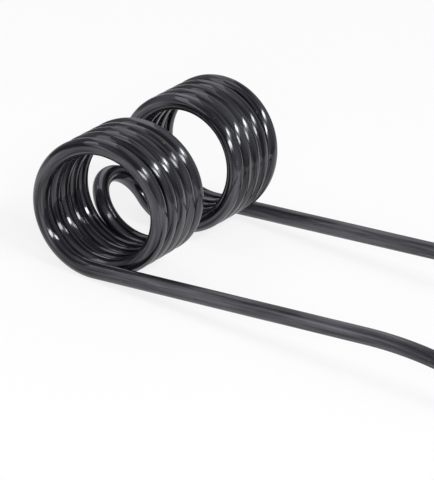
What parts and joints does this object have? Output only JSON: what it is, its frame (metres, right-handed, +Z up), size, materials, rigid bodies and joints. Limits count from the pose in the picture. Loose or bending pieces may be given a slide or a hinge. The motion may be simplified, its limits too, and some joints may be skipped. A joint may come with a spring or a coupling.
{
  "type": "pickup tine",
  "caption": "Double-coil spring tine of round wire: two close-wound coils joined by a bolt loop, with long arms that bend down at the tips to lift cut crop.",
  "frame": {"origin": "on the ground, in the middle of the box around the tine", "axes": "+Z up, as it rests on its coils and tips; +X from the coils towards the tips; +Y along the coils' common axis"},
  "size_m": [0.1938, 0.085, 0.0469],
  "materials": {
    "wire": "gloss"
  },
  "bodies": {
    "root": {"pickup_tine": "wire"}
  },
  "joints": []
}
